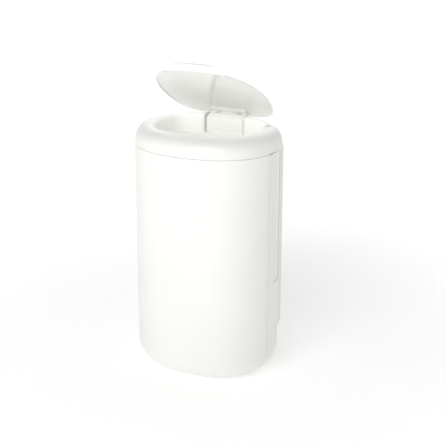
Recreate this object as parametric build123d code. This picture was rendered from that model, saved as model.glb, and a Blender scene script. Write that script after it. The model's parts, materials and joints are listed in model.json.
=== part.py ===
from build123d import *
import os
from math import atan2, cos, degrees, hypot, radians, sin, sqrt

# A small washroom waste bin of two shells, with a rounded collar, a domed lid and a plate for the wall.
# Millimetres, +Z up, the front faces -Y. The origin is on the floor under the middle of the bin.

# Plan of the bin, measured from its widest line
HALF_WIDTH = 94.6
FRONT_DEPTH = 87.5
REAR_DEPTH = 78.0
WIDE_Y = (FRONT_DEPTH - REAR_DEPTH) / 2
WALL_PLANE_Y = WIDE_Y + REAR_DEPTH

# Clearances
OVERRUN = 2.0
RUNNING_GAP = 0.05
SEAT_GAP = 0.3
FUSE_OVERLAP = 0.4

# Body shells
WALL = 2.5
BODY_TOP_Z = 302.0
EDGE_CHAMFER = 0.5
BOTTOM_RADIUS = 36.5
SEAM_FROM_WIDEST = 29.0
SEAM_GAP = 0.7
BACK_FLAT_DEPTH = 58.5
BACK_FLATTENING = 0.5
BACK_TOP_DROP = 0.9
BACK_TOP_FALL = 2.8
BACK_DIP_HALF_WIDTH = 55.0
BACK_DIP_DEPTH = 12.0
BACK_DIP_DROP = 7.5
TONGUE_THICKNESS = 1.5
TONGUE_REACH = 5.0
TONGUE_ROOT = 6.0
TONGUE_GAP = 0.2

# Shallow recess on each side of the back shell
RECESS_DEPTH = 1.2
RECESS_FROM_SEAM = 5.5
RECESS_LENGTH = 60.0
RECESS_LOW_Z = 128.0
RECESS_END_RADIUS = 14.0

# Feet
FOOT_RADIUS = 8.0
FOOT_STAND = 1.2
FOOT_SEAT_DEPTH = 0.9
FOOT_EDGE_RADIUS = 0.5
FOOT_SIDE_GAP = 0.2
FOOT_X = 27.0
FOOT_FRONT_Y = -33.8
FOOT_REAR_Y = 13.0

# Screws that join the two shells
SHELL_SCREW_X = 79.0
SHELL_SCREW_LOW_Z = 66.0
SHELL_SCREW_HIGH_Z = 262.0
BOSS_RADIUS = 4.0
BOSS_LENGTH = 14.0
LUG_LENGTH = 4.0
WEB_THICKNESS = 3.0
SCREW_RADIUS = 1.4
SCREW_HEAD_RADIUS = 3.2
SCREW_HEAD_HEIGHT = 2.0
SCREW_DRIVE_RADIUS = 1.2
SCREW_DRIVE_DEPTH = 1.2
SCREW_HOLE_DEPTH = 12.0
SCREW_HOLE_GAP = 0.4

# Collar with its rounded rim and inner wall
COLLAR_REAR_DEPTH = 73.0
COLLAR_HEIGHT = 22.6
PARTING_GAP = 0.3
COLLAR_WALL = 2.5
RIM_TAPER = 2.4
RIM_ROUND = 15.0
RIM_INNER_ROUND = 4.0
INNER_WALL_DROP = 1.0
COLLAR_Z = BODY_TOP_Z + PARTING_GAP
RIM_TOP_Z = COLLAR_Z + COLLAR_HEIGHT
INNER_WALL_Z = COLLAR_Z - INNER_WALL_DROP
TAB_HALF_WIDTH = 9.0
TAB_DROP = 5.0
TAB_THICKNESS = 1.8
TAB_GAP = 1.2
TAB_X = 46.0

# Mouth, measured from its own widest line
MOUTH_HALF_WIDTH = 67.5
MOUTH_FRONT_RIM = 29.4
MOUTH_REAR_RIM = 35.0
MOUTH_WIDE_SHIFT = 8.5
MOUTH_WIDE_Y = WIDE_Y - MOUTH_WIDE_SHIFT
MOUTH_FRONT_Y = WIDE_Y - FRONT_DEPTH + MOUTH_FRONT_RIM
MOUTH_REAR_Y = WALL_PLANE_Y - MOUTH_REAR_RIM

# Notch in the rear of the collar that takes the hinge block
NOTCH_HALF_WIDTH = 26.8
NOTCH_SIDE_WALL = 2.0
NOTCH_REAR_DROP = 8.3
NOTCH_FLOOR_DROP = 13.3
NOTCH_FLOOR_THICKNESS = 2.0
NOTCH_FLOOR_INSET = 3.0
NOTCH_REAR_Z = RIM_TOP_Z - NOTCH_REAR_DROP
NOTCH_FLOOR_Z = RIM_TOP_Z - NOTCH_FLOOR_DROP

# Hinge block
BLOCK_SIDE_GAP = 1.8
BLOCK_SHEET = 2.0
BLOCK_PANEL_TOP_DROP = 4.6
BLOCK_TOP_RISE = 4.0
BLOCK_EDGE_RADIUS = 0.8
BLOCK_BOSS_RADIUS = 3.6
BLOCK_SCREW_X = 14.0
BLOCK_SCREW_HOLE = 5.0
BLOCK_HALF_WIDTH = NOTCH_HALF_WIDTH - BLOCK_SIDE_GAP

# Lid hinge
LID_AXIS_FROM_WALL = 20.0
LID_AXIS_DROP = 4.3
ROD_RADIUS = 1.6
BARREL_RADIUS = 3.0
BARREL_REAR_GAP = 1.2
EAR_INNER_X = 11.4
EAR_WIDTH = 6.0
KNUCKLE_GAP = 0.4
STRAP_THICKNESS = 3.6
STRAP_LAND = 10.0
STRAP_LAND_RISE = 0.4
STRAP_LAND_TOP = 3.6
LID_AXIS_Y = WALL_PLANE_Y - LID_AXIS_FROM_WALL
LID_AXIS_Z = RIM_TOP_Z - LID_AXIS_DROP

# Lid
LID_OPEN_ANGLE = 34.0
LID_HALF_WIDTH = 72.7
LID_WIDE_FROM_AXIS = 60.0
LID_FRONT_DEPTH = 78.5
LID_REAR_REACH = 5.1
LID_SHEET = 1.6
LID_SKIRT = 2.6
LID_SKIRT_THICKNESS = 1.8
LID_DOME = 4.5
LID_REST_GAP = 0.4
LID_EDGE_ROUND = 0.9
LID_WIDE_Y = LID_AXIS_Y - LID_WIDE_FROM_AXIS
LIP_LENGTH = 10.0
LIP_ANGLE = 38.0
LIP_ROOT_HALF_WIDTH = 41.0
LIP_TIP_HALF_WIDTH = 22.5
LIP_THICKNESS = 1.8
LIP_CORNER_RADIUS = 20.0
LIP_EDGE_ROUND = 0.6

# Leaf spring that gives the lid its friction
LEAF_THICKNESS = 0.6
LEAF_WIDTH = 14.0
LEAF_FOOT_FROM_PANEL = 1.0
LEAF_FOOT = 4.5
LEAF_TIP = 1.6
LEAF_GAP = 0.1
LEAF_SIDE_GAP = 0.4
CLAMP_LENGTH = 2.0
CLAMP_GAP = 0.1

# Hinge of the collar at the back of the bin
COLLAR_AXIS_FROM_WALL = 18.75
COLLAR_AXIS_RISE = 11.7
COLLAR_KNUCKLE_RADIUS = 3.0
COLLAR_PIN_RADIUS = 1.8
ARM_WIDTH = 6.0
ARM_SIDE_GAP = 0.7
ARM_ROOT_DROP = 14.0
ARM_REAR_RISE = 14.5
ARM_BEND_RISE = 1.5
SLOT_RISE = 3.6
CHEEK_THICKNESS = 2.6
COLLAR_AXIS_Y = WALL_PLANE_Y - COLLAR_AXIS_FROM_WALL
COLLAR_AXIS_Z = COLLAR_Z + COLLAR_AXIS_RISE
ARM_X = NOTCH_HALF_WIDTH + NOTCH_SIDE_WALL + ARM_SIDE_GAP
CHEEK_X = ARM_X + ARM_WIDTH + ARM_SIDE_GAP

# Bag ring and its hinge
RING_MARGIN = 0.8
RING_FLANGE = 2.8
RING_SHEET = 2.0
RING_SLOPE_WIDTH = 8.0
RING_SLOPE_DROP = 10.0
RING_SKIRT_DROP = 6.0
RING_AXIS_FROM_MOUTH = 9.0
RING_AXIS_DROP = 4.4
RING_EAR_WIDTH = 3.4
RING_EAR_RADIUS = 3.4
RING_EAR_GAP = 0.4
RING_PIN_RADIUS = 1.5
RING_TOP_Z = INNER_WALL_Z - SEAT_GAP
RING_AXIS_Y = MOUTH_REAR_Y + RING_AXIS_FROM_MOUTH
RING_AXIS_Z = RING_TOP_Z - RING_AXIS_DROP
RING_EAR_X = NOTCH_HALF_WIDTH + NOTCH_SIDE_WALL + RING_EAR_GAP

# Key lock in the right side of the collar
LOCK_FROM_MOUTH = 3.5
LOCK_BEHIND_WIDEST = 15.6
LOCK_BARREL_RADIUS = 4.0
LOCK_HOUSING_WALL = 1.4
LOCK_TOP_DROP = 4.0
LOCK_REACH_DOWN = 8.7
KEY_SLOT_LENGTH = 6.5
KEY_SLOT_WIDTH = 2.0
KEY_SLOT_DEPTH = 5.0
KEY_SLOT_ANGLE = 45.0
CAM_THICKNESS = 2.4
CAM_HALF_WIDTH = 2.4
CAM_REACH = 12.0
CAM_SCREW_LENGTH = 8.0
LEDGE_FROM_LOCK = 6.5
LEDGE_HALF_LENGTH = 6.0
LEDGE_THICKNESS = 2.2
LEDGE_CAM_GAP = 0.6
LOCK_X = MOUTH_HALF_WIDTH + LOCK_FROM_MOUTH
LOCK_Y = WIDE_Y + LOCK_BEHIND_WIDEST
CAM_TOP_Z = COLLAR_Z - LOCK_REACH_DOWN

# Wall plate, its mushroom studs and its screw holes
PLATE_HALF_WIDTH = 69.7
PLATE_LOW_Z = 22.0
PLATE_TOP_Z = 288.0
PLATE_SHEET = 2.5
PLATE_DEPTH = 12.6
PLATE_FLANGE = 2.0
PLATE_CHAMFER_X = 6.0
PLATE_CHAMFER_Z = 15.0
PLATE_CORNER_RADIUS = 5.0
STUD_X = 24.0
STUD_LOW_Z = 96.0
STUD_HIGH_Z = 246.0
STUD_NECK_RADIUS = 3.0
STUD_HEAD_RADIUS = 6.0
STUD_HEAD_THICKNESS = 2.4
STUD_POST_RADIUS = 7.0
LIFT_OFF = 12.0
KEYHOLE_GAP = 0.5
PAD_MARGIN = 4.0
PLATE_HOLE_RADIUS = 2.75
PLATE_HOLE_X = 45.0
PLATE_HOLE_LOW_Z = 70.0
PLATE_HOLE_HIGH_Z = 260.0
HOLE_RING_RADIUS = 6.5
HOLE_RING_HEIGHT = 1.5
PLATE_FRONT_Y = WALL_PLANE_Y - PLATE_DEPTH

# Radii of the plans as shares: side, front end, front corner, rear end and rear corner of the half width
COLLAR_SHARES = (1.59, 1.58, 0.79, 1.075, 0.4)
MOUTH_SHARES = (1.48, 1.985, 0.49, 2.22, 0.33)
LID_SHARES = (1.8, 2.2, 0.75)
LID_REAR_CORNER_SHARE = 0.46
BACK_CORNER_SHARE = 0.6


def circle_meet(first, first_reach, second, second_reach):
    """Point at two given distances from two points, to the left of the way between them."""
    dx, dy = second[0] - first[0], second[1] - first[1]
    span = hypot(dx, dy)
    along = (first_reach**2 - second_reach**2 + span**2) / (2 * span)
    off = sqrt(first_reach**2 - along**2)
    return (first[0] + (along * dx - off * dy) / span, first[1] + (along * dy + off * dx) / span)


def end_arcs(front_y, end_radius, corner_radius, side):
    """Arcs of a rounded front, from the middle outwards to the side arc."""
    end = (0, front_y + end_radius, end_radius)
    corner = circle_meet(end, end_radius - corner_radius, side, side[2] - corner_radius)
    return [end, (corner[0], corner[1], corner_radius)]


def flat_corner(rear_y, corner_radius, side):
    """Corner arc between a side arc and a flat rear."""
    corner_y = rear_y - corner_radius
    reach = side[2] - corner_radius
    return (side[0] + sqrt(reach**2 - (corner_y - side[1])**2), corner_y, corner_radius)


def side_and_front(half_width, wide_y, front_depth, shares):
    """Side arc of a plan, and the arcs of its front, all with radii that follow the half width."""
    side_radius, end_radius, corner_radius = [share * half_width for share in shares]
    side = (half_width - side_radius, wide_y, side_radius)
    return side, end_arcs(wide_y - front_depth, end_radius, corner_radius, side)


def oval_arcs(half_width, wide_y, front_depth, rear_y, shares):
    """Arcs of an oval plan, round its right half from the front to the rear."""
    side, front = side_and_front(half_width, wide_y, front_depth, shares[:3])
    end_radius, corner_radius = [share * half_width for share in shares[3:]]
    end = (0, rear_y - end_radius, end_radius)
    corner = circle_meet(side, side[2] - corner_radius, end, end_radius - corner_radius)
    return front + [side, (corner[0], corner[1], corner_radius), end]


def body_arcs():
    """Body plan: behind the seam the back shell curves inwards to a flat back."""
    side, front = side_and_front(HALF_WIDTH, WIDE_Y, FRONT_DEPTH, COLLAR_SHARES[:3])
    x, y, radius = front[-1]
    turn = (SEAM_Y - y) / radius
    back_radius = (BACK_Y + BACK_FLATTENING - SEAM_Y) / (1 - turn)
    shift = radius - back_radius
    back_side = (x + shift * sqrt(1 - turn**2), y + shift * turn, back_radius)
    return front + [back_side, flat_corner(BACK_Y, BACK_CORNER_SHARE * back_radius, back_side)]


def lid_arcs():
    """Lid plan: an egg shape, narrower towards the hinge."""
    side, front = side_and_front(LID_HALF_WIDTH, LID_WIDE_Y, LID_FRONT_DEPTH, LID_SHARES)
    rear_corner = LID_REAR_CORNER_SHARE * LID_HALF_WIDTH
    return front + [side, flat_corner(LID_AXIS_Y + LID_REAR_REACH, rear_corner, side)]


def touch_angle(first, second):
    """Direction, from both centres, of the point where two arcs run into each other."""
    sign = 1 if first[2] > second[2] else -1
    return atan2(sign * (second[1] - first[1]), sign * (second[0] - first[0]))


def plan_face(arcs, inset, z):
    """Closed face of a plan whose right half is a chain of arcs, mirrored, moved inwards by inset."""
    turns = [-radians(90)] + [touch_angle(a, b) for a, b in zip(arcs, arcs[1:])] + [radians(90)]
    half = Curve()
    for (x, y, radius), start, stop in zip(arcs, turns, turns[1:]):
        half += CenterArc((x, y), radius - inset, degrees(start), degrees(stop - start))
    last_x, last_y, last_radius = arcs[-1]
    if last_x > 0:
        half += Line((last_x, last_y + last_radius - inset), (0, last_y + last_radius - inset))
    return Pos(0, 0, z) * make_face(half + mirror(half, Plane.YZ))


def prism(arcs, inset, low_z, high_z):
    """Upright prism of a plan."""
    return extrude(plan_face(arcs, inset, low_z), high_z - low_z)


def block(low, high):
    """Box between two corners."""
    size = [b - a for a, b in zip(low, high)]
    return Pos(*[(a + b) / 2 for a, b in zip(low, high)]) * Box(*size)


def rod_x(radius, low_x, high_x, y, z):
    """Cylinder along X."""
    turned = Rot(0, 90, 0) * Cylinder(radius, high_x - low_x)
    return Pos((low_x + high_x) / 2, y, z) * turned


def rod_y(radius, x, low_y, high_y, z):
    """Cylinder along Y."""
    turned = Rot(90, 0, 0) * Cylinder(radius, high_y - low_y)
    return Pos(x, (low_y + high_y) / 2, z) * turned


def rod_z(radius, x, y, low_z, high_z):
    """Cylinder along Z."""
    return Pos(x, y, (low_z + high_z) / 2) * Cylinder(radius, high_z - low_z)


def both_sides(shape):
    """A shape and its mirror image across the middle of the bin."""
    return [shape, mirror(shape, Plane.YZ)]


def save(shapes, name):
    """Writes one node, as one solid or as a group of separate solids."""
    solids = [solid for shape in shapes for solid in shape.solids()]
    shape = solids[0] if len(solids) == 1 else Compound(solids)
    export_step(shape, "parts/" + name + ".step")
    return shape


SEAM_Y = WIDE_Y - SEAM_FROM_WIDEST
BACK_Y = WIDE_Y + BACK_FLAT_DEPTH
BASE_Z = FOOT_STAND
BACK_TOP_Z = BODY_TOP_Z - BACK_TOP_DROP
BODY = body_arcs()
COLLAR = oval_arcs(HALF_WIDTH, WIDE_Y, FRONT_DEPTH, WIDE_Y + COLLAR_REAR_DEPTH, COLLAR_SHARES)
MOUTH = oval_arcs(MOUTH_HALF_WIDTH, MOUTH_WIDE_Y, MOUTH_WIDE_Y - MOUTH_FRONT_Y, MOUTH_REAR_Y, MOUTH_SHARES)


def yz_prism(points, low_x, high_x):
    """Prism along X of an outline given in depth and height."""
    outline = make_face(Polyline(*points, close=True))
    return extrude(Plane.YZ.offset(low_x) * outline, high_x - low_x)


def tub(inset, top_z):
    """Body form with its round bottom, moved inwards by inset."""
    solid = prism(BODY, inset, BASE_Z + inset, top_z)
    return fillet(solid.edges().group_by(Axis.Z)[0], BOTTOM_RADIUS - inset)


def shell_walls():
    """Both shells as one open tub, before the seam parts them."""
    outer = tub(0, BODY_TOP_Z)
    outer = chamfer(outer.edges().group_by(Axis.Z)[-1], EDGE_CHAMFER)
    return outer - tub(WALL, BODY_TOP_Z + OVERRUN)


def slab_y(low_y, high_y):
    """Slab across the whole bin between two depths."""
    reach = HALF_WIDTH + OVERRUN
    return block((-reach, low_y, -OVERRUN), (reach, high_y, RIM_TOP_Z))


def shell_screw_places():
    """Left and right, low and high places of the shell screws."""
    return [(x, z) for z in (SHELL_SCREW_LOW_Z, SHELL_SCREW_HIGH_Z) for x in (-SHELL_SCREW_X, SHELL_SCREW_X)]


def side_web(x, low_y, high_y, z):
    """Web from a screw boss out to the side wall."""
    outwards = 1 if x > 0 else -1
    low_x, high_x = sorted((x, outwards * HALF_WIDTH))
    half = WEB_THICKNESS / 2
    web = block((low_x, low_y, z - half), (high_x, high_y, z + half))
    return web & prism(BODY, WALL - FUSE_OVERLAP, BASE_Z, BODY_TOP_Z)


def foot_pockets(y):
    """Shallow seats for a pair of feet in the floor."""
    radius, top_z = FOOT_RADIUS + FOOT_SIDE_GAP, BASE_Z + FOOT_SEAT_DEPTH
    return [rod_z(radius, x, y, -OVERRUN, top_z) for x in (-FOOT_X, FOOT_X)]


def seam_tongue():
    """Tongue inside the front shell that lies behind the seam."""
    inner = tub(WALL + TONGUE_THICKNESS, BODY_TOP_Z + OVERRUN)
    top_z = BACK_TOP_Z - BACK_TOP_DROP
    root = tub(WALL - FUSE_OVERLAP, top_z) - inner
    root = root & slab_y(SEAM_Y - TONGUE_ROOT, SEAM_Y - SEAM_GAP / 2)
    lap = tub(WALL + TONGUE_GAP, top_z) - inner
    lap = lap & slab_y(SEAM_Y - TONGUE_ROOT, SEAM_Y + TONGUE_REACH)
    half = BOSS_RADIUS + WEB_THICKNESS
    for x, z in shell_screw_places():
        lap -= block((x - BOSS_LENGTH, SEAM_Y - SEAM_GAP, z - half),
                     (x + BOSS_LENGTH, SEAM_Y + TONGUE_REACH + OVERRUN, z + half))
    return root, lap


def front_shell(walls):
    """Front half of the body."""
    face_y = SEAM_Y - SEAM_GAP / 2
    shell = walls & slab_y(-FRONT_DEPTH, face_y)
    for piece in seam_tongue():
        shell += piece
    for x, z in shell_screw_places():
        shell += rod_y(BOSS_RADIUS, x, face_y - BOSS_LENGTH, face_y, z)
        shell += side_web(x, face_y - BOSS_LENGTH, face_y, z)
        shell -= rod_y(SCREW_RADIUS + RUNNING_GAP, x, face_y - SCREW_HOLE_DEPTH, face_y + OVERRUN, z)
    for pocket in foot_pockets(FOOT_FRONT_Y):
        shell -= pocket
    return shell


def side_recess():
    """Thin layer that the shallow recess takes off the right side of the back shell."""
    low_y = SEAM_Y + RECESS_FROM_SEAM
    high_z = BODY_TOP_Z + OVERRUN
    window = Rectangle(RECESS_LENGTH, high_z - RECESS_LOW_Z)
    window = fillet(window.vertices().group_by(Axis.Y)[0], RECESS_END_RADIUS)
    middle = (0, low_y + RECESS_LENGTH / 2, (RECESS_LOW_Z + high_z) / 2)
    place = Plane(origin=middle, x_dir=(0, 1, 0), z_dir=(1, 0, 0))
    window = extrude(place * window, HALF_WIDTH + OVERRUN)
    layer = prism(BODY, -OVERRUN, RECESS_LOW_Z, high_z) - prism(BODY, RECESS_DEPTH, RECESS_LOW_Z, high_z)
    return layer & window


def stud_places():
    """Places of the four mushroom studs that carry the bin."""
    return [(x, z) for z in (STUD_LOW_Z, STUD_HIGH_Z) for x in (-STUD_X, STUD_X)]


def keyhole(x, z):
    """Opening in the back wall: a wide hole for the stud's head below a narrow slot for its neck."""
    low_y, high_y = BACK_Y - WALL - OVERRUN, PLATE_FRONT_Y
    neck = STUD_NECK_RADIUS + KEYHOLE_GAP
    head = STUD_HEAD_RADIUS + KEYHOLE_GAP
    slot = rod_y(neck, x, low_y, high_y, z) + rod_y(head, x, low_y, high_y, z - LIFT_OFF)
    return slot + block((x - neck, low_y, z - LIFT_OFF), (x + neck, high_y, z))


def keyhole_pad(x, z):
    """Raised pad round a keyhole that stands against the plate."""
    reach = STUD_HEAD_RADIUS + KEYHOLE_GAP + PAD_MARGIN
    return block((x - reach, BACK_Y - FUSE_OVERLAP, z - LIFT_OFF - reach),
                 (x + reach, PLATE_FRONT_Y - SEAT_GAP, z + reach))


def hinge_arm():
    """Arm of the back shell that reaches up into the right side of the collar, and its pin hole."""
    root_z = PLATE_TOP_Z + ARM_BEND_RISE
    front_y, rear_y = COLLAR_AXIS_Y - COLLAR_KNUCKLE_RADIUS, COLLAR_AXIS_Y + COLLAR_KNUCKLE_RADIUS
    inner_y = BACK_Y - WALL
    outline = [(front_y, COLLAR_AXIS_Z), (rear_y, COLLAR_AXIS_Z), (rear_y, root_z + ARM_REAR_RISE),
               (BACK_Y, root_z), (BACK_Y, root_z - ARM_ROOT_DROP), (inner_y, root_z - ARM_ROOT_DROP),
               (inner_y, root_z)]
    arm = yz_prism(outline, ARM_X, ARM_X + ARM_WIDTH)
    arm += rod_x(COLLAR_KNUCKLE_RADIUS, ARM_X, ARM_X + ARM_WIDTH, COLLAR_AXIS_Y, COLLAR_AXIS_Z)
    hole = rod_x(COLLAR_PIN_RADIUS + RUNNING_GAP, ARM_X - OVERRUN, ARM_X + ARM_WIDTH + OVERRUN,
                 COLLAR_AXIS_Y, COLLAR_AXIS_Z)
    return arm - hole


def lock_ledge():
    """Ledge inside the right wall that the lock's cam turns under."""
    low_z = CAM_TOP_Z + LEDGE_CAM_GAP
    ledge = block((LOCK_X + LEDGE_FROM_LOCK, LOCK_Y - LEDGE_HALF_LENGTH, low_z),
                  (HALF_WIDTH, LOCK_Y + LEDGE_HALF_LENGTH, low_z + LEDGE_THICKNESS))
    return ledge & prism(BODY, WALL - FUSE_OVERLAP, BASE_Z, BODY_TOP_Z)


def sloping_top():
    """Space above the back shell: its top edge falls towards the rear and dips where the collar tips back."""
    top_z = RIM_TOP_Z
    outline = [(SEAM_Y, BACK_TOP_Z), (WALL_PLANE_Y, BACK_TOP_Z - BACK_TOP_FALL), (WALL_PLANE_Y, top_z),
               (SEAM_Y, top_z)]
    dip = block((-BACK_DIP_HALF_WIDTH, BACK_Y - BACK_DIP_DEPTH, BODY_TOP_Z - BACK_DIP_DROP),
                (BACK_DIP_HALF_WIDTH, WALL_PLANE_Y, top_z))
    return yz_prism(outline, -HALF_WIDTH - OVERRUN, HALF_WIDTH + OVERRUN) + dip


def back_shell(walls):
    """Rear half of the body, with its recesses, keyholes, hinge arms and the ledge for the lock."""
    face_y = SEAM_Y + SEAM_GAP / 2
    shell = walls & slab_y(face_y, WALL_PLANE_Y)
    shell -= sloping_top()
    for recess in both_sides(side_recess()):
        shell -= recess
    for x, z in stud_places():
        shell += keyhole_pad(x, z)
        shell -= keyhole(x, z)
    for arm in both_sides(hinge_arm()):
        shell += arm
    shell += lock_ledge()
    for x, z in shell_screw_places():
        shell += rod_y(BOSS_RADIUS, x, face_y, face_y + LUG_LENGTH, z)
        shell += side_web(x, face_y, face_y + LUG_LENGTH, z)
        shell -= rod_y(SCREW_RADIUS + SCREW_HOLE_GAP, x, face_y - OVERRUN, face_y + LUG_LENGTH + OVERRUN, z)
    for pocket in foot_pockets(FOOT_REAR_Y):
        shell -= pocket
    return shell


def screw(length):
    """Pan-head screw along +Z, its head below the origin and its shank above."""
    head = Pos(0, 0, -SCREW_HEAD_HEIGHT / 2) * Cylinder(SCREW_HEAD_RADIUS, SCREW_HEAD_HEIGHT)
    head = fillet(head.edges().group_by(Axis.Z)[0], SCREW_HEAD_HEIGHT / 2)
    shank = Pos(0, 0, length / 2) * Cylinder(SCREW_RADIUS, length)
    drive = extrude(Pos(0, 0, -SCREW_HEAD_HEIGHT) * RegularPolygon(SCREW_DRIVE_RADIUS, 6), SCREW_DRIVE_DEPTH)
    return head + shank - drive


def shell_screws():
    """Four screws driven forwards through the lugs of the back shell."""
    face_y = SEAM_Y + SEAM_GAP / 2 + LUG_LENGTH
    turned = Rot(90, 0, 0) * screw(LUG_LENGTH + SCREW_HOLE_DEPTH - OVERRUN)
    return [Pos(x, face_y, z) * turned for x, z in shell_screw_places()]


def rubber_feet():
    """Four round pads under the floor."""
    height = FOOT_STAND + FOOT_SEAT_DEPTH
    pad = Pos(0, 0, height / 2) * Cylinder(FOOT_RADIUS, height)
    pad = fillet(pad.edges().group_by(Axis.Z)[0], FOOT_EDGE_RADIUS)
    return [Pos(x, y, 0) * pad for y in (FOOT_FRONT_Y, FOOT_REAR_Y) for x in (-FOOT_X, FOOT_X)]


def rim_form(inset, low_z, high_z, radius):
    """Form of the collar's outside, which narrows to its rounded top, moved inwards by inset."""
    form = loft([plan_face(COLLAR, inset, low_z), plan_face(COLLAR, inset + RIM_TAPER, high_z)], ruled=True)
    return fillet(form.edges().group_by(Axis.Z)[-1], radius)


def is_inside(point):
    """Whether a point lies over the mouth or on its edge."""
    in_width = abs(point.X) < MOUTH_HALF_WIDTH + SEAT_GAP
    return in_width and MOUTH_FRONT_Y - SEAT_GAP < point.Y < MOUTH_REAR_Y + SEAT_GAP


def collar_web(low_x, thickness):
    """Web across the hollow of the collar beside the notch."""
    web = block((low_x, WIDE_Y, COLLAR_Z), (low_x + thickness, WALL_PLANE_Y, RIM_TOP_Z))
    web -= prism(MOUTH, 0, COLLAR_Z - OVERRUN, RIM_TOP_Z + OVERRUN)
    return web & rim_form(COLLAR_WALL - FUSE_OVERLAP, COLLAR_Z, RIM_TOP_Z - COLLAR_WALL + FUSE_OVERLAP,
                          RIM_ROUND - COLLAR_WALL)


def ring_hanger():
    """Lower end of the right web, which carries a pin of the bag ring."""
    low_x, high_x = NOTCH_HALF_WIDTH, NOTCH_HALF_WIDTH + NOTCH_SIDE_WALL
    hanger = rod_x(RING_EAR_RADIUS, low_x, high_x, RING_AXIS_Y, RING_AXIS_Z)
    return hanger + block((low_x, RING_AXIS_Y - RING_EAR_RADIUS, RING_AXIS_Z),
                          (high_x, RING_AXIS_Y + RING_EAR_RADIUS, COLLAR_Z + FUSE_OVERLAP))


def front_tab(x):
    """Tab that drops inside the front shell and centres the closed collar."""
    low_z = COLLAR_Z - TAB_DROP
    outer = WALL + TAB_GAP
    inner = outer + TAB_THICKNESS
    band = prism(COLLAR, outer, low_z, COLLAR_Z + OVERRUN)
    band += prism(COLLAR, COLLAR_WALL - FUSE_OVERLAP, COLLAR_Z, COLLAR_Z + OVERRUN)
    band -= prism(COLLAR, inner, low_z - OVERRUN, RIM_TOP_Z)
    return band & block((x - TAB_HALF_WIDTH, -FRONT_DEPTH, low_z), (x + TAB_HALF_WIDTH, SEAM_Y, RIM_TOP_Z))


def key_slot(low_z, high_z):
    """Slot for the key above the lock, set at an angle."""
    slot = extrude(Pos(0, 0, low_z) * SlotOverall(KEY_SLOT_LENGTH, KEY_SLOT_WIDTH), high_z - low_z)
    return Pos(LOCK_X, LOCK_Y, 0) * Rot(0, 0, -KEY_SLOT_ANGLE) * slot


def arm_slot():
    """Slot in the collar's rear wall that the right hinge arm passes when the collar tips back."""
    low_x = ARM_X - ARM_SIDE_GAP
    return block((low_x, COLLAR_AXIS_Y, COLLAR_Z - OVERRUN),
                 (CHEEK_X, WALL_PLANE_Y + OVERRUN, COLLAR_AXIS_Z + SLOT_RISE))


def collar_shell():
    """Hollow rim with its inner wall and the notch for the hinge block."""
    collar = rim_form(0, COLLAR_Z, RIM_TOP_Z, RIM_ROUND)
    collar = chamfer(collar.edges().group_by(Axis.Z)[0], EDGE_CHAMFER)
    collar -= prism(MOUTH, 0, COLLAR_Z - OVERRUN, RIM_TOP_Z + OVERRUN)
    top_edges = [edge for edge in collar.edges().group_by(Axis.Z)[-1] if is_inside(edge @ 0.5)]
    collar = fillet(top_edges, RIM_INNER_ROUND)
    wall = prism(MOUTH, -COLLAR_WALL, INNER_WALL_Z, RIM_TOP_Z - COLLAR_WALL)
    hollow = rim_form(COLLAR_WALL, COLLAR_Z - OVERRUN, RIM_TOP_Z - COLLAR_WALL, RIM_ROUND - COLLAR_WALL)
    collar -= hollow - wall
    skirt = prism(MOUTH, -COLLAR_WALL, INNER_WALL_Z, COLLAR_Z + FUSE_OVERLAP)
    collar += skirt - prism(MOUTH, 0, INNER_WALL_Z - OVERRUN, RIM_TOP_Z)
    rear_y = LID_AXIS_Y + BARREL_RADIUS + BARREL_REAR_GAP
    collar -= block((-NOTCH_HALF_WIDTH, WIDE_Y, INNER_WALL_Z - OVERRUN),
                    (NOTCH_HALF_WIDTH, rear_y, RIM_TOP_Z + OVERRUN))
    collar -= block((-NOTCH_HALF_WIDTH, WIDE_Y, NOTCH_REAR_Z),
                    (NOTCH_HALF_WIDTH, WALL_PLANE_Y + OVERRUN, RIM_TOP_Z + OVERRUN))
    return collar


def notch_floor():
    """Floor of the notch, which the hinge block is screwed to."""
    side = NOTCH_HALF_WIDTH + NOTCH_SIDE_WALL
    floor = block((-side, MOUTH_REAR_Y + NOTCH_FLOOR_INSET, NOTCH_FLOOR_Z),
                  (side, WALL_PLANE_Y, NOTCH_FLOOR_Z + NOTCH_FLOOR_THICKNESS))
    return floor & rim_form(COLLAR_WALL - FUSE_OVERLAP, COLLAR_Z, RIM_TOP_Z, RIM_ROUND - COLLAR_WALL)


def lock_housing():
    """Housing of the lock, from the collar's lower edge up into the rim."""
    housing = rod_z(LOCK_BARREL_RADIUS + LOCK_HOUSING_WALL, LOCK_X, LOCK_Y, COLLAR_Z, RIM_TOP_Z - COLLAR_WALL)
    return housing + rod_z(LOCK_BARREL_RADIUS, LOCK_X, LOCK_Y, COLLAR_Z, RIM_TOP_Z - COLLAR_WALL / 2)


def rim_collar():
    """Rounded collar round the mouth, with its webs, floor, tabs and the housing of the lock."""
    collar = collar_shell()
    for web in both_sides(collar_web(NOTCH_HALF_WIDTH, NOTCH_SIDE_WALL)) + both_sides(ring_hanger()):
        collar += web
    for web in both_sides(collar_web(CHEEK_X, CHEEK_THICKNESS)):
        collar += web
    collar += notch_floor()
    for slot in both_sides(arm_slot()):
        collar -= slot
    for x in (-TAB_X, 0, TAB_X):
        collar += front_tab(x)
    collar += lock_housing()
    collar -= rod_z(LOCK_BARREL_RADIUS + RUNNING_GAP, LOCK_X, LOCK_Y, COLLAR_Z - OVERRUN,
                    RIM_TOP_Z - LOCK_TOP_DROP)
    collar -= key_slot(COLLAR_Z, RIM_TOP_Z + OVERRUN)
    for hole in both_sides(collar_pin(RUNNING_GAP)) + both_sides(ring_pin(RUNNING_GAP)):
        collar -= hole
    for x in (-BLOCK_SCREW_X, BLOCK_SCREW_X):
        collar -= rod_z(SCREW_RADIUS + SCREW_HOLE_GAP, x, block_screw_y(), NOTCH_FLOOR_Z - OVERRUN,
                        NOTCH_REAR_Z)
    return collar


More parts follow.
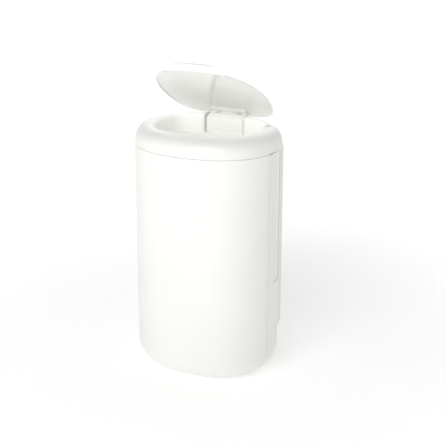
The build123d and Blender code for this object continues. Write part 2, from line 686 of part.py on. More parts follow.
def collar_pin(gap):
    """Right hinge pin of the collar, or its hole where a gap is given."""
    reach = OVERRUN if gap > 0 else 0
    return rod_x(COLLAR_PIN_RADIUS + gap, NOTCH_HALF_WIDTH - reach, CHEEK_X + CHEEK_THICKNESS + reach,
                 COLLAR_AXIS_Y, COLLAR_AXIS_Z)


def ring_pin(gap):
    """Right hinge pin of the bag ring, or its hole where a gap is given."""
    reach = OVERRUN if gap > 0 else 0
    return rod_x(RING_PIN_RADIUS + gap, NOTCH_HALF_WIDTH - reach, RING_EAR_X + RING_EAR_WIDTH + reach,
                 RING_AXIS_Y, RING_AXIS_Z)


def block_screw_y():
    """Depth of the two screws that hold the hinge block to the notch floor."""
    return (MOUTH_REAR_Y + LID_AXIS_Y - BARREL_RADIUS) / 2


def hinge_ear(rear_y, floor_z):
    """Right ear of the hinge block, before it is drilled for the rod."""
    low_x, high_x = EAR_INNER_X, EAR_INNER_X + EAR_WIDTH
    ear = rod_x(BARREL_RADIUS, low_x, high_x, LID_AXIS_Y, LID_AXIS_Z)
    return ear + block((low_x, rear_y - BLOCK_SHEET, floor_z),
                       (high_x, LID_AXIS_Y + BARREL_RADIUS, LID_AXIS_Z))


def hinge_block():
    """Block in the notch: panel flush with the inner wall, sloping top and two ears for the rod."""
    front_y = MOUTH_REAR_Y
    inner_y = front_y + BLOCK_SHEET
    panel_top = RIM_TOP_Z - BLOCK_PANEL_TOP_DROP
    rear_y = LID_AXIS_Y - BARREL_RADIUS - KNUCKLE_GAP
    rear_top = panel_top + BLOCK_TOP_RISE
    floor_z = NOTCH_FLOOR_Z + NOTCH_FLOOR_THICKNESS
    half = BLOCK_HALF_WIDTH
    outline = [(front_y, INNER_WALL_Z), (front_y, panel_top), (rear_y, rear_top), (rear_y, floor_z),
               (inner_y, floor_z), (inner_y, INNER_WALL_Z)]
    result = yz_prism(outline, -half, half)
    rim = [edge for edge in result.edges().filter_by(Axis.X) if edge.center().Z > panel_top - SEAT_GAP]
    result = fillet(rim, BLOCK_EDGE_RADIUS)
    hollow = [(inner_y, floor_z - OVERRUN), (inner_y, panel_top - BLOCK_SHEET),
              (rear_y - BLOCK_SHEET, rear_top - BLOCK_SHEET), (rear_y - BLOCK_SHEET, floor_z - OVERRUN)]
    result -= yz_prism(hollow, -half + BLOCK_SHEET, half - BLOCK_SHEET)
    for ear in both_sides(hinge_ear(rear_y, floor_z)):
        result += ear
    result -= rod_x(ROD_RADIUS + RUNNING_GAP, -half, half, LID_AXIS_Y, LID_AXIS_Z)
    for x in (-BLOCK_SCREW_X, BLOCK_SCREW_X):
        result += rod_z(BLOCK_BOSS_RADIUS, x, block_screw_y(), floor_z, panel_top - BLOCK_SHEET / 2)
        result -= rod_z(SCREW_RADIUS + RUNNING_GAP, x, block_screw_y(), floor_z - OVERRUN,
                        floor_z + BLOCK_SCREW_HOLE)
    slot = LEAF_WIDTH / 2 + LEAF_SIDE_GAP
    result -= block((-slot, rear_y - BLOCK_SHEET - SEAT_GAP, floor_z - OVERRUN),
                    (slot, rear_y + OVERRUN, LID_AXIS_Z - BARREL_RADIUS))
    clamp_y = inner_y + LEAF_FOOT_FROM_PANEL
    result += block((-LEAF_WIDTH / 2, clamp_y, floor_z + LEAF_THICKNESS + CLAMP_GAP),
                    (LEAF_WIDTH / 2, clamp_y + CLAMP_LENGTH, panel_top - BLOCK_SHEET / 2))
    return result


def block_screws():
    """Two screws driven upwards through the collar's floor into the hinge block."""
    length = NOTCH_FLOOR_THICKNESS + BLOCK_SCREW_HOLE - SEAT_GAP
    return [Pos(x, block_screw_y(), NOTCH_FLOOR_Z) * screw(length) for x in (-BLOCK_SCREW_X, BLOCK_SCREW_X)]


def friction_leaf():
    """Bent leaf spring on the notch floor that presses up against the lid's middle barrel."""
    base_z = NOTCH_FLOOR_Z + NOTCH_FLOOR_THICKNESS
    top_z = LID_AXIS_Z - BARREL_RADIUS - LEAF_GAP - LEAF_THICKNESS
    foot_y = MOUTH_REAR_Y + BLOCK_SHEET + LEAF_FOOT_FROM_PANEL
    lower = [(foot_y, base_z), (foot_y + LEAF_FOOT, base_z), (LID_AXIS_Y - LEAF_TIP, top_z),
             (LID_AXIS_Y + LEAF_TIP, top_z)]
    upper = [(y, z + LEAF_THICKNESS) for y, z in reversed(lower)]
    return yz_prism(lower + upper, -LEAF_WIDTH / 2, LEAF_WIDTH / 2)


def lid_rod():
    """Steel rod through the block's ears and the lid's barrels."""
    return rod_x(ROD_RADIUS, -BLOCK_HALF_WIDTH, BLOCK_HALF_WIDTH, LID_AXIS_Y, LID_AXIS_Z)


LID_LOW_Z = RIM_TOP_Z + LID_REST_GAP


def lid_lip():
    """Finger lip that flares up and outwards from the front edge of the lid."""
    x, centre_y, radius = lid_arcs()[0]
    root = radius - LID_SKIRT_THICKNESS
    run, rise = LIP_LENGTH * cos(radians(LIP_ANGLE)), LIP_LENGTH * sin(radians(LIP_ANGLE))
    tip, tip_z = radius + run, LID_LOW_Z + rise
    across = LIP_THICKNESS / cos(radians(LIP_ANGLE))
    profile = [(root, LID_LOW_Z), (radius, LID_LOW_Z), (tip, tip_z),
               (tip - LIP_THICKNESS / 2, tip_z + LIP_THICKNESS), (root, LID_LOW_Z + across)]
    flare = revolve(make_face(Plane.XZ * Polyline(*profile, close=True)), Axis.Z, 360)
    flare = Pos(x, centre_y, 0) * flare
    flare = fillet(flare.edges().group_by(Axis.Z)[-1], LIP_EDGE_ROUND)
    top_z = tip_z + LIP_THICKNESS
    window = make_face(Polyline((-LIP_ROOT_HALF_WIDTH, LID_LOW_Z), (LIP_ROOT_HALF_WIDTH, LID_LOW_Z),
                                (LIP_TIP_HALF_WIDTH, top_z), (-LIP_TIP_HALF_WIDTH, top_z), close=True))
    window = fillet(window.vertices().group_by(Axis.Y)[-1], LIP_CORNER_RADIUS)
    return flare & extrude(Plane.XZ * window, LID_FRONT_DEPTH + LIP_LENGTH - LID_WIDE_Y)


def lid_knuckles():
    """Barrels on the rod and the flat land that joins them to the rear of the lid."""
    ear_low, ear_high = EAR_INNER_X - KNUCKLE_GAP, EAR_INNER_X + EAR_WIDTH + KNUCKLE_GAP
    half = BLOCK_HALF_WIDTH
    rear_y = LID_AXIS_Y + STRAP_THICKNESS / 2
    pieces = [block((-half, LID_AXIS_Y - STRAP_LAND, LID_LOW_Z + STRAP_LAND_RISE),
                    (half, rear_y, LID_LOW_Z + STRAP_LAND_TOP))]
    for low_x, high_x in ((-half, -ear_high), (-ear_low, ear_low), (ear_high, half)):
        barrel = rod_x(BARREL_RADIUS, low_x, high_x, LID_AXIS_Y, LID_AXIS_Z)
        barrel += block((low_x, rear_y - STRAP_THICKNESS, LID_AXIS_Z),
                        (high_x, rear_y, LID_LOW_Z + STRAP_LAND_TOP))
        pieces.append(barrel)
    return pieces


def closed_lid():
    """Domed lid in its closed place, with skirt, lip and barrels."""
    arcs = lid_arcs()
    radius = (LID_HALF_WIDTH**2 + LID_DOME**2) / (2 * LID_DOME)
    crown_z = LID_LOW_Z + LID_SKIRT + LID_DOME
    centre = Pos(0, LID_WIDE_Y, crown_z - radius)
    outer = prism(arcs, 0, LID_LOW_Z, crown_z + OVERRUN) & (centre * Sphere(radius))
    outer = fillet(outer.faces().sort_by(Axis.Z)[-1].edges(), LID_EDGE_ROUND)
    inner = prism(arcs, LID_SKIRT_THICKNESS, LID_LOW_Z - OVERRUN, crown_z)
    inner = inner & (centre * Sphere(radius - LID_SHEET))
    lid = outer - inner + lid_lip()
    for piece in lid_knuckles():
        lid += piece
    return lid - rod_x(ROD_RADIUS + RUNNING_GAP, -BLOCK_HALF_WIDTH, BLOCK_HALF_WIDTH, LID_AXIS_Y, LID_AXIS_Z)


def open_lid():
    """Lid turned back on its rod to the angle that it stands at."""
    away = Pos(0, -LID_AXIS_Y, -LID_AXIS_Z) * closed_lid()
    return Pos(0, LID_AXIS_Y, LID_AXIS_Z) * Rot(-LID_OPEN_ANGLE, 0, 0) * away


def ring_band(outer, inner, low_z, high_z):
    """Upright band of the mouth's plan between two insets."""
    return prism(MOUTH, outer, low_z, high_z) - prism(MOUTH, inner, low_z - OVERRUN, high_z + OVERRUN)


def ring_funnel(inner, low_z):
    """Sloping part of the bag ring, which narrows downwards from its flange."""
    tip, tip_z = inner + RING_SLOPE_WIDTH, low_z - RING_SLOPE_DROP
    outside = [plan_face(MOUTH, tip - RING_SHEET, tip_z), plan_face(MOUTH, inner - RING_SHEET, RING_TOP_Z)]
    inside = [plan_face(MOUTH, tip, tip_z), plan_face(MOUTH, inner, RING_TOP_Z)]
    return loft(outside, ruled=True) - loft(inside, ruled=True)


def bag_ring():
    """Ring under the mouth that the bag hangs from: flange, sloping funnel, outer skirt and two ears."""
    low_z = RING_TOP_Z - RING_SHEET
    outer, inner = -RING_MARGIN, RING_FLANGE - RING_MARGIN
    ring = ring_band(outer, inner, low_z, RING_TOP_Z)
    ring += ring_band(outer, outer + RING_SHEET, RING_TOP_Z - RING_SKIRT_DROP, low_z + FUSE_OVERLAP)
    ring += ring_funnel(inner, low_z)
    low_x, high_x = RING_EAR_X, RING_EAR_X + RING_EAR_WIDTH
    root_y = MOUTH_REAR_Y - 2 * RING_EAR_RADIUS
    ear = rod_x(RING_EAR_RADIUS, low_x, high_x, RING_AXIS_Y, RING_AXIS_Z)
    ear += block((low_x, root_y, RING_AXIS_Z - RING_EAR_RADIUS),
                 (high_x, RING_AXIS_Y, RING_AXIS_Z + RING_EAR_RADIUS))
    ear -= rod_x(RING_PIN_RADIUS + RUNNING_GAP, low_x - OVERRUN, high_x + OVERRUN, RING_AXIS_Y, RING_AXIS_Z)
    inside = prism(MOUTH, outer + RING_SHEET, RING_TOP_Z - RING_SLOPE_DROP - OVERRUN, RING_TOP_Z + OVERRUN)
    for piece in both_sides(ear):
        ring += piece - inside
    return ring


def lock_barrel():
    """Turning barrel of the lock, with the slot for the key in its top."""
    top_z = RIM_TOP_Z - LOCK_TOP_DROP - SEAT_GAP
    barrel = rod_z(LOCK_BARREL_RADIUS, LOCK_X, LOCK_Y, CAM_TOP_Z, top_z)
    barrel -= rod_z(SCREW_RADIUS + RUNNING_GAP, LOCK_X, LOCK_Y, CAM_TOP_Z - OVERRUN,
                    CAM_TOP_Z + CAM_SCREW_LENGTH)
    return barrel - key_slot(top_z - KEY_SLOT_DEPTH, top_z + OVERRUN)


def lock_cam():
    """Cam under the barrel, which points to the front while the lock is open."""
    low_z = CAM_TOP_Z - CAM_THICKNESS
    cam = rod_z(LOCK_BARREL_RADIUS, LOCK_X, LOCK_Y, low_z, CAM_TOP_Z)
    tip_y = LOCK_Y - CAM_REACH + CAM_HALF_WIDTH
    cam += block((LOCK_X - CAM_HALF_WIDTH, tip_y, low_z), (LOCK_X + CAM_HALF_WIDTH, LOCK_Y, CAM_TOP_Z))
    cam += rod_z(CAM_HALF_WIDTH, LOCK_X, tip_y, low_z, CAM_TOP_Z)
    return cam - rod_z(SCREW_RADIUS + RUNNING_GAP, LOCK_X, LOCK_Y, low_z - OVERRUN, CAM_TOP_Z + OVERRUN)


def cam_screw():
    """Screw that holds the cam to the barrel."""
    return Pos(LOCK_X, LOCK_Y, CAM_TOP_Z - CAM_THICKNESS) * screw(CAM_SCREW_LENGTH)


def plate_outline(inset):
    """Outline of the wall plate seen from the front, moved inwards by inset."""
    half, low_z, top_z = PLATE_HALF_WIDTH - inset, PLATE_LOW_Z + inset, PLATE_TOP_Z - inset
    narrow, cut_z = half - PLATE_CHAMFER_X, low_z + PLATE_CHAMFER_Z
    corners = [(-narrow, low_z), (narrow, low_z), (half, cut_z), (half, top_z), (-half, top_z),
               (-half, cut_z)]
    outline = make_face(Polyline(*corners, close=True))
    return fillet(outline.vertices(), PLATE_CORNER_RADIUS - inset)


def wall_plate():
    """Plate for the wall: sheet with a flange all round, and four studs that the bin hangs on."""
    plate = extrude(Plane.XZ.offset(-WALL_PLANE_Y) * plate_outline(0), PLATE_DEPTH)
    plate -= extrude(Plane.XZ.offset(-WALL_PLANE_Y + PLATE_SHEET) * plate_outline(PLATE_FLANGE), PLATE_DEPTH)
    sheet_y = WALL_PLANE_Y - PLATE_SHEET
    head_y = BACK_Y - WALL - SEAT_GAP
    for x, z in stud_places():
        plate += rod_y(STUD_POST_RADIUS, x, PLATE_FRONT_Y, sheet_y + FUSE_OVERLAP, z)
        plate += rod_y(STUD_NECK_RADIUS, x, head_y - STUD_HEAD_THICKNESS, PLATE_FRONT_Y + FUSE_OVERLAP, z)
        plate += rod_y(STUD_HEAD_RADIUS, x, head_y - STUD_HEAD_THICKNESS, head_y, z)
    for z in (PLATE_HOLE_LOW_Z, PLATE_HOLE_HIGH_Z):
        for x in (-PLATE_HOLE_X, PLATE_HOLE_X):
            plate += rod_y(HOLE_RING_RADIUS, x, sheet_y - HOLE_RING_HEIGHT, sheet_y + FUSE_OVERLAP, z)
            plate -= rod_y(PLATE_HOLE_RADIUS, x, sheet_y - OVERRUN, WALL_PLANE_Y + OVERRUN, z)
    return plate


def main():
    """Builds every piece and writes one file for each."""
    os.makedirs("parts", exist_ok=True)
    walls = shell_walls()
    save([front_shell(walls)], "front_shell")
    save([back_shell(walls)], "back_shell")
    save(shell_screws(), "shell_screws")
    save(rubber_feet(), "rubber_feet")
    save([rim_collar()], "rim_collar")
    save(both_sides(collar_pin(0)), "collar_pins")
    save([hinge_block()], "hinge_block")
    save(block_screws(), "block_screws")
    save([friction_leaf()], "friction_leaf")
    save([lid_rod()], "lid_rod")
    save([open_lid()], "lid")
    save([bag_ring()], "bag_ring")
    save(both_sides(ring_pin(0)), "ring_pins")
    save([lock_barrel()], "lock_barrel")
    save([lock_cam()], "lock_cam")
    save([cam_screw()], "cam_screw")
    save([wall_plate()], "wall_plate")


main()
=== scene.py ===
import bpy
import json
import math
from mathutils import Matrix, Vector

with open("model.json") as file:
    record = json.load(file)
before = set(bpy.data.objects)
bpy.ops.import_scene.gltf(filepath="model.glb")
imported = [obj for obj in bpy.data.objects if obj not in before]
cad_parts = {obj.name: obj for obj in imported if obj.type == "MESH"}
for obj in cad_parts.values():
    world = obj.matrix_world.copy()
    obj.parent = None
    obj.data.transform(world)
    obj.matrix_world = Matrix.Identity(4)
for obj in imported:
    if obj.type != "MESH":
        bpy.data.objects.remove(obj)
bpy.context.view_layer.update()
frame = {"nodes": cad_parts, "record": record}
nodes = frame["nodes"]

# Colours of the plastics, the metals, the rubber and the stage
WARM = (0.88, 0.875, 0.845, 1)
COOL = (0.862, 0.857, 0.827, 1)
RUBBED = (0.91, 0.905, 0.885, 1)
# Painted shade: the lid's tones are the white plastic darkened so its lit lip does not wash out
LID_SHADED_PALE = (0.78, 0.78, 0.75, 1)
LID_SHADED_DEEP = (0.76, 0.76, 0.73, 1)
STEEL_LIGHT = (0.56, 0.56, 0.55, 1)
STEEL_DARK = (0.42, 0.42, 0.43, 1)
BARREL_LIGHT = (0.1, 0.1, 0.1, 1)
BARREL_DARK = (0.06, 0.06, 0.06, 1)
RUBBER_DARK = (0.05, 0.05, 0.05, 1)
RUBBER_DUSTY = (0.09, 0.09, 0.085, 1)
PAINTED_GLOW_COLOUR = (1.0, 0.995, 0.975, 1)
FLOOR_WHITE = (0.88, 0.88, 0.88, 1)
FULL_WHITE = (1.0, 1.0, 1.0, 1)

# Range that holds most values of a noise texture
NOISE_SPAN = (0.3, 0.7)

# Light on edges: radius in metres, and where the cosine of the normals' angle turns to flat
EDGE_RADIUS = 0.0006
EDGE_SPAN = (0.9, 0.995)
EDGE_SAMPLES = 6

# Plastic: scales per metre, heights in metres
CLOUD_SCALE, CLOUD_DETAIL = 14.0, 3.0
GRAIN_SCALE, GRAIN_DETAIL, GRAIN_ROUGH = 900.0, 4.0, 0.6
GRAIN_HEIGHT = 0.00004
FLOW_SCALE = (60.0, 60.0, 4.0)
FLOW_DETAIL = 2.0
FLOW_GLOSS = 0.015
WAVE_STRENGTH, WAVE_HEIGHT = 0.12, 0.0004
PLASTIC_IOR = 1.49
PLASTIC_SPECULAR = 0.35
COAT_ROUGHNESS = 0.08

# Metal and rubber: scales per metre, heights in metres
DRAWN_SCALE = (90.0, 2400.0, 2400.0)
DRAWN_DETAIL, DRAWN_STRENGTH, DRAWN_HEIGHT = 3.0, 0.2, 0.00003
PATCH_SCALE, PATCH_DETAIL = 260.0, 4.0
RUBBER_SCALE, RUBBER_DETAIL = 1500.0, 4.0
RUBBER_STRENGTH, RUBBER_HEIGHT = 0.35, 0.0001
RUBBER_ROUGHNESS = (0.7, 0.9)
DUST_SCALE, DUST_DETAIL = 120.0, 3.0

# Painted light: glow of the plastics, and the collar's masks for its painted glow in its own
# coordinates, in metres
COLLAR_PAINTED_GLOW, BLOCK_PAINTED_GLOW, LID_AND_INNER_PAINTED_GLOW = 0.23, 0.18, 0.1
WELL_SCALE = (10.6, 12.0, 0.0)
WELL_SPAN = (0.8, 0.97)
REAR_SPAN = (-0.085, -0.055)
NOTCH_SPAN = (0.027, 0.031)
BLOCK_FRONT_SPAN = (0.042, 0.047)
LOCK_SHIFT = (-0.071, -0.0204, 0.0)
LOCK_SPAN = (0.0035, 0.006)

# Floor and backdrop, in metres
FLOOR_HALF_WIDTH = 6.0
FLOOR_FRONT = -6.0
BACKDROP_Y, BACKDROP_TOP = 2.6, 5.0
SWEEP_RADIUS, SWEEP_STEPS = 1.2, 24
FLOOR_ROUGHNESS = 0.9
FLOOR_GLOW_SPAN = (0.15, 0.8)
FLOOR_GLOW = (0.3, 0.5)

# Lights: places and sizes in metres, powers in watts
LIGHT_AIM = (0, 0, 0.25)
FILL_PLACE, FILL_SIZE, FILL_POWER = (0.1, -1.65, 1.05), (1.2, 1.2), 16.8
KEY_PLACE, KEY_SIZE, KEY_POWER = (-1.1, -1.6, 1.0), (1.3, 1.3), 3.5
SURROUNDINGS = 0.33

# Camera: sensor in millimetres, picture values in pixels, places in metres
SENSOR_WIDTH = 36.0
PICTURE_SIZE = 446
FOCAL_PIXELS = 1194.32
OPTICAL_X, OPTICAL_Y = 211.1, 214.82
NEAR_CLIP, FAR_CLIP = 0.05, 30
EYE_PLACE = (0.58597, -1.33913, 0.70408)
EYE_BACK = (0.3782, -0.86733, 0.32359)


def socket_value(node, name, value):
    """Sets a constant on a node's own socket."""
    node.inputs[name].default_value = value


def map_range(tree, source, source_span, target_span, kind="LINEAR"):
    """Maps a signal from one span to another and clamps it."""
    node = tree.nodes.new("ShaderNodeMapRange")
    node.interpolation_type = kind
    socket_value(node, "From Min", source_span[0])
    socket_value(node, "From Max", source_span[1])
    socket_value(node, "To Min", target_span[0])
    socket_value(node, "To Max", target_span[1])
    tree.links.new(source, node.inputs["Value"])
    return node.outputs["Result"]


def ramp(tree, source, low, high):
    """Maps a noise signal to a range."""
    return map_range(tree, source, NOISE_SPAN, (low, high))


def step(tree, source, span, low, high):
    """Smooth step of a signal from one level to another."""
    return map_range(tree, source, span, (low, high), "SMOOTHSTEP")


def combined(tree, operation, first, second):
    """Two signals joined by a math node."""
    node = tree.nodes.new("ShaderNodeMath")
    node.operation = operation
    tree.links.new(first, node.inputs[0])
    tree.links.new(second, node.inputs[1])
    return node.outputs["Value"]


def mapped(tree, coords, scale, shift=(0.0, 0.0, 0.0)):
    """Coordinates scaled and then shifted along each axis."""
    node = tree.nodes.new("ShaderNodeMapping")
    socket_value(node, "Scale", scale)
    socket_value(node, "Location", shift)
    tree.links.new(coords, node.inputs["Vector"])
    return node.outputs["Vector"]


def distance(tree, coords, scale, shift=(0.0, 0.0, 0.0)):
    """Distance from the origin in scaled and shifted coordinates."""
    node = tree.nodes.new("ShaderNodeVectorMath")
    node.operation = "LENGTH"
    tree.links.new(mapped(tree, coords, scale, shift), node.inputs[0])
    return node.outputs["Value"]


def noise(tree, coords, scale, detail, rough=0.5):
    """Noise over the object's own coordinates, in metres."""
    node = tree.nodes.new("ShaderNodeTexNoise")
    socket_value(node, "Scale", scale)
    socket_value(node, "Detail", detail)
    socket_value(node, "Roughness", rough)
    tree.links.new(coords, node.inputs["Vector"])
    return node.outputs["Fac"]


def mix_colour(tree, factor, first, second):
    """Mix of two colours, each a constant or a link."""
    node = tree.nodes.new("ShaderNodeMix")
    node.data_type = "RGBA"
    tree.links.new(factor, node.inputs["Factor"])
    for name, value in (("A", first), ("B", second)):
        target = [s for s in node.inputs if s.name == name and s.type == "RGBA"][0]
        if isinstance(value, tuple):
            target.default_value = value
        else:
            tree.links.new(value, target)
    return [s for s in node.outputs if s.type == "RGBA"][0]


def bump(tree, height, strength, depth, normal=None):
    """Relief from a height signal, on top of a normal where one is given."""
    node = tree.nodes.new("ShaderNodeBump")
    socket_value(node, "Strength", strength)
    socket_value(node, "Distance", depth)
    tree.links.new(height, node.inputs["Height"])
    if normal is not None:
        tree.links.new(normal, node.inputs["Normal"])
    return node.outputs["Normal"]


def edge_mask(tree):
    """1 on sharp edges and 0 on flat surfaces, and the normal rounded at the edges."""
    bevel = tree.nodes.new("ShaderNodeBevel")
    bevel.samples = EDGE_SAMPLES
    socket_value(bevel, "Radius", EDGE_RADIUS)
    geometry = tree.nodes.new("ShaderNodeNewGeometry")
    dot = tree.nodes.new("ShaderNodeVectorMath")
    dot.operation = "DOT_PRODUCT"
    tree.links.new(bevel.outputs["Normal"], dot.inputs[0])
    tree.links.new(geometry.outputs["Normal"], dot.inputs[1])
    mask = map_range(tree, dot.outputs["Value"], EDGE_SPAN, (1.0, 0.0))
    return mask, bevel.outputs["Normal"]


def new_material(name):
    """A material with its tree, its shader and the object's own coordinates."""
    material = bpy.data.materials.new(name)
    material.use_nodes = True
    tree = material.node_tree
    coords = tree.nodes.new("ShaderNodeTexCoord").outputs["Object"]
    return material, tree, tree.nodes["Principled BSDF"], coords


def collar_painted_glow(material, strength):
    """Painted light: a glow on the collar's inner and rear walls that lifts the shade in the well.

    The glow leaves out the notch behind the block's front and the lock's slot.
    """
    tree = material.node_tree
    shader = tree.nodes["Principled BSDF"]
    coords = tree.nodes.new("ShaderNodeTexCoord").outputs["Object"]
    parts = tree.nodes.new("ShaderNodeSeparateXYZ")
    tree.links.new(coords, parts.inputs["Vector"])
    glow = step(tree, parts.outputs["Y"], REAR_SPAN, 0.0, strength)
    well = step(tree, distance(tree, coords, WELL_SCALE), WELL_SPAN, 1.0, 0.0)
    beside = step(tree, distance(tree, coords, (1.0, 0.0, 0.0)), NOTCH_SPAN, 0.0, 1.0)
    ahead = step(tree, parts.outputs["Y"], BLOCK_FRONT_SPAN, 1.0, 0.0)
    clear = combined(tree, "MAXIMUM", beside, ahead)
    around_lock = distance(tree, coords, (1.0, 1.0, 0.0), LOCK_SHIFT)
    lock = step(tree, around_lock, LOCK_SPAN, 0.0, 1.0)
    for mask in (well, clear, lock):
        glow = combined(tree, "MULTIPLY", glow, mask)
    socket_value(shader, "Emission Color", PAINTED_GLOW_COLOUR)
    tree.links.new(glow, shader.inputs["Emission Strength"])


def plastic(name, light, dark, roughness, coat, grain, glow=0.0):
    """Moulded plastic: slow tone changes, fine grain, flow marks and pale rubbed edges."""
    material, tree, shader, coords = new_material(name)
    cloudy = noise(tree, coords, CLOUD_SCALE, CLOUD_DETAIL)
    fine = noise(tree, coords, GRAIN_SCALE, GRAIN_DETAIL, GRAIN_ROUGH)
    streaks = noise(tree, mapped(tree, coords, FLOW_SCALE), 1.0, FLOW_DETAIL)
    edges, rounded = edge_mask(tree)
    colour = mix_colour(tree, ramp(tree, cloudy, 0.0, 1.0), light, dark)
    colour = mix_colour(tree, edges, colour, RUBBED)
    tree.links.new(colour, shader.inputs["Base Color"])
    gloss = combined(tree, "ADD", ramp(tree, fine, *roughness),
                     ramp(tree, streaks, -FLOW_GLOSS, FLOW_GLOSS))
    tree.links.new(gloss, shader.inputs["Roughness"])
    grained = bump(tree, fine, grain, GRAIN_HEIGHT, rounded)
    waved = bump(tree, cloudy, WAVE_STRENGTH, WAVE_HEIGHT, grained)
    tree.links.new(waved, shader.inputs["Normal"])
    socket_value(shader, "IOR", PLASTIC_IOR)
    socket_value(shader, "Specular IOR Level", PLASTIC_SPECULAR)
    socket_value(shader, "Coat Weight", coat)
    socket_value(shader, "Coat Roughness", COAT_ROUGHNESS)
    # Painted light: the glow lifts the shade on the lid, the inner parts and the hinge block
    socket_value(shader, "Emission Color", PAINTED_GLOW_COLOUR)
    socket_value(shader, "Emission Strength", glow)
    return material


def metal(name, light, dark, roughness):
    """Plated steel with drawn lines and dull patches."""
    material, tree, shader, coords = new_material(name)
    drawn = noise(tree, mapped(tree, coords, DRAWN_SCALE), 1.0, DRAWN_DETAIL)
    patches = noise(tree, coords, PATCH_SCALE, PATCH_DETAIL)
    colour = mix_colour(tree, ramp(tree, patches, 0.0, 1.0), light, dark)
    tree.links.new(colour, shader.inputs["Base Color"])
    tree.links.new(ramp(tree, drawn, *roughness), shader.inputs["Roughness"])
    relief = bump(tree, drawn, DRAWN_STRENGTH, DRAWN_HEIGHT)
    tree.links.new(relief, shader.inputs["Normal"])
    socket_value(shader, "Metallic", 1.0)
    return material


def rubber(name):
    """Soft dark rubber with a coarse grain and dust."""
    material, tree, shader, coords = new_material(name)
    grain = noise(tree, coords, RUBBER_SCALE, RUBBER_DETAIL)
    dust = noise(tree, coords, DUST_SCALE, DUST_DETAIL)
    colour = mix_colour(tree, ramp(tree, dust, 0.0, 1.0), RUBBER_DARK, RUBBER_DUSTY)
    tree.links.new(colour, shader.inputs["Base Color"])
    tree.links.new(ramp(tree, grain, *RUBBER_ROUGHNESS), shader.inputs["Roughness"])
    relief = bump(tree, grain, RUBBER_STRENGTH, RUBBER_HEIGHT)
    tree.links.new(relief, shader.inputs["Normal"])
    return material


def paint():
    """Gives every node its finish: roughness range, coat, grain and, where it has one, a painted
    glow that lifts its shade.
    """
    looks = {
        "shell_white": plastic("shell_plastic", WARM, COOL, (0.32, 0.42), 0.03, 0.25),
        "collar_white": plastic("collar_plastic", WARM, COOL, (0.26, 0.34), 0.08, 0.18),
        # Painted shade and painted light: the lid is a darkened copy of the white plastic with a
        # glow on it
        "lid_white": plastic("lid_plastic", LID_SHADED_PALE, LID_SHADED_DEEP, (0.1, 0.16), 0.45, 0.1,
                             LID_AND_INNER_PAINTED_GLOW),
        "inner_white": plastic("inner_plastic", WARM, COOL, (0.38, 0.5), 0.0, 0.4,
                               LID_AND_INNER_PAINTED_GLOW),
        "plate_white": plastic("plate_plastic", WARM, COOL, (0.38, 0.5), 0.0, 0.45),
        "steel": metal("plated_steel", STEEL_LIGHT, STEEL_DARK, (0.25, 0.45)),
        "rubber": rubber("soft_rubber"),
    }
    # Painted light: the collar glows on its inner and rear walls to brighten the well
    collar_painted_glow(looks["collar_white"], COLLAR_PAINTED_GLOW)
    own_looks = {
        "hinge_block": plastic("block_plastic", WARM, COOL, (0.16, 0.24), 0.5, 0.18,
                               BLOCK_PAINTED_GLOW),
        "lock_barrel": metal("dark_steel", BARREL_LIGHT, BARREL_DARK, (0.35, 0.5)),
    }
    slots = {part["node"]: part["material_slot"] for part in frame["record"]["subparts"]}
    for name, node in nodes.items():
        look = own_looks.get(name, looks[slots[name]])
        if len(node.data.materials) == 0:
            node.data.materials.append(look)
        for slot in node.material_slots:
            slot.material = look


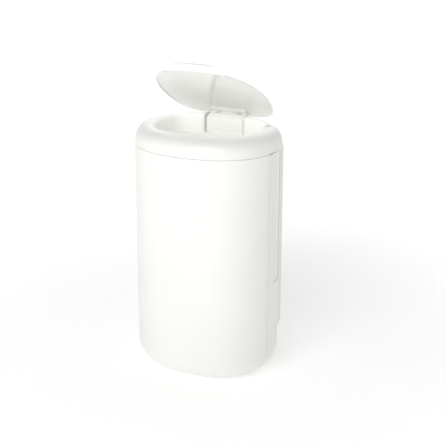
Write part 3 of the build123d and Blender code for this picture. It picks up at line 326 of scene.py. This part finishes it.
def stage():
    """White floor that sweeps up into a backdrop and glows more, further from the bin."""
    mesh = bpy.data.meshes.new("floor")
    profile = [(FLOOR_FRONT, 0.0), (BACKDROP_Y - SWEEP_RADIUS, 0.0)]
    for i in range(1, SWEEP_STEPS + 1):
        angle = math.radians(90) * i / SWEEP_STEPS
        profile.append((BACKDROP_Y - SWEEP_RADIUS + SWEEP_RADIUS * math.sin(angle),
                        SWEEP_RADIUS - SWEEP_RADIUS * math.cos(angle)))
    profile.append((BACKDROP_Y, BACKDROP_TOP))
    sides = (-FLOOR_HALF_WIDTH, FLOOR_HALF_WIDTH)
    points = [(x, y, z) for y, z in profile for x in sides]
    faces = [(2 * i, 2 * i + 1, 2 * i + 3, 2 * i + 2) for i in range(len(profile) - 1)]
    mesh.from_pydata(points, [], faces)
    mesh.polygons.foreach_set("use_smooth", [True] * len(faces))
    floor = bpy.data.objects.new("floor", mesh)
    bpy.context.scene.collection.objects.link(floor)
    material, tree, shader, coords = new_material("floor_white")
    socket_value(shader, "Base Color", FLOOR_WHITE)
    socket_value(shader, "Roughness", FLOOR_ROUGHNESS)
    socket_value(shader, "Emission Color", FULL_WHITE)
    from_bin = distance(tree, coords, (1.0, 1.0, 1.0))
    glow = step(tree, from_bin, FLOOR_GLOW_SPAN, *FLOOR_GLOW)
    tree.links.new(glow, shader.inputs["Emission Strength"])
    mesh.materials.append(material)


def area_light(name, place, size, power):
    """Soft box light aimed at the bin."""
    data = bpy.data.lights.new(name, "AREA")
    data.shape = "RECTANGLE"
    data.size, data.size_y = size
    data.energy = power
    light = bpy.data.objects.new(name, data)
    light.location = place
    light.rotation_mode = "QUATERNION"
    ahead = Vector(LIGHT_AIM) - Vector(place)
    light.rotation_quaternion = ahead.to_track_quat("-Z", "Y")
    bpy.context.scene.collection.objects.link(light)


def lights():
    """Soft studio light: a large box above the camera, a weak one on the left, and a pale world."""
    area_light("fill", FILL_PLACE, FILL_SIZE, FILL_POWER)
    area_light("key", KEY_PLACE, KEY_SIZE, KEY_POWER)
    world = bpy.data.worlds.new("studio")
    world.use_nodes = True
    background = world.node_tree.nodes["Background"]
    socket_value(background, "Color", FULL_WHITE)
    socket_value(background, "Strength", SURROUNDINGS)
    bpy.context.scene.world = world


def camera():
    """Camera of the photograph: 23.6 degrees to the right and 18.9 above the horizontal."""
    data = bpy.data.cameras.new("camera")
    data.sensor_width = SENSOR_WIDTH
    data.lens = SENSOR_WIDTH * FOCAL_PIXELS / PICTURE_SIZE
    data.shift_x = (PICTURE_SIZE / 2 - OPTICAL_X) / PICTURE_SIZE
    data.shift_y = -(PICTURE_SIZE / 2 - OPTICAL_Y) / PICTURE_SIZE
    data.clip_start, data.clip_end = NEAR_CLIP, FAR_CLIP
    eye = bpy.data.objects.new("camera", data)
    eye.location = EYE_PLACE
    eye.rotation_mode = "QUATERNION"
    eye.rotation_quaternion = (-Vector(EYE_BACK)).to_track_quat("-Z", "Y")
    bpy.context.scene.collection.objects.link(eye)
    bpy.context.scene.camera = eye


paint()
stage()
lights()
camera()
bpy.context.scene.view_settings.view_transform = "Standard"
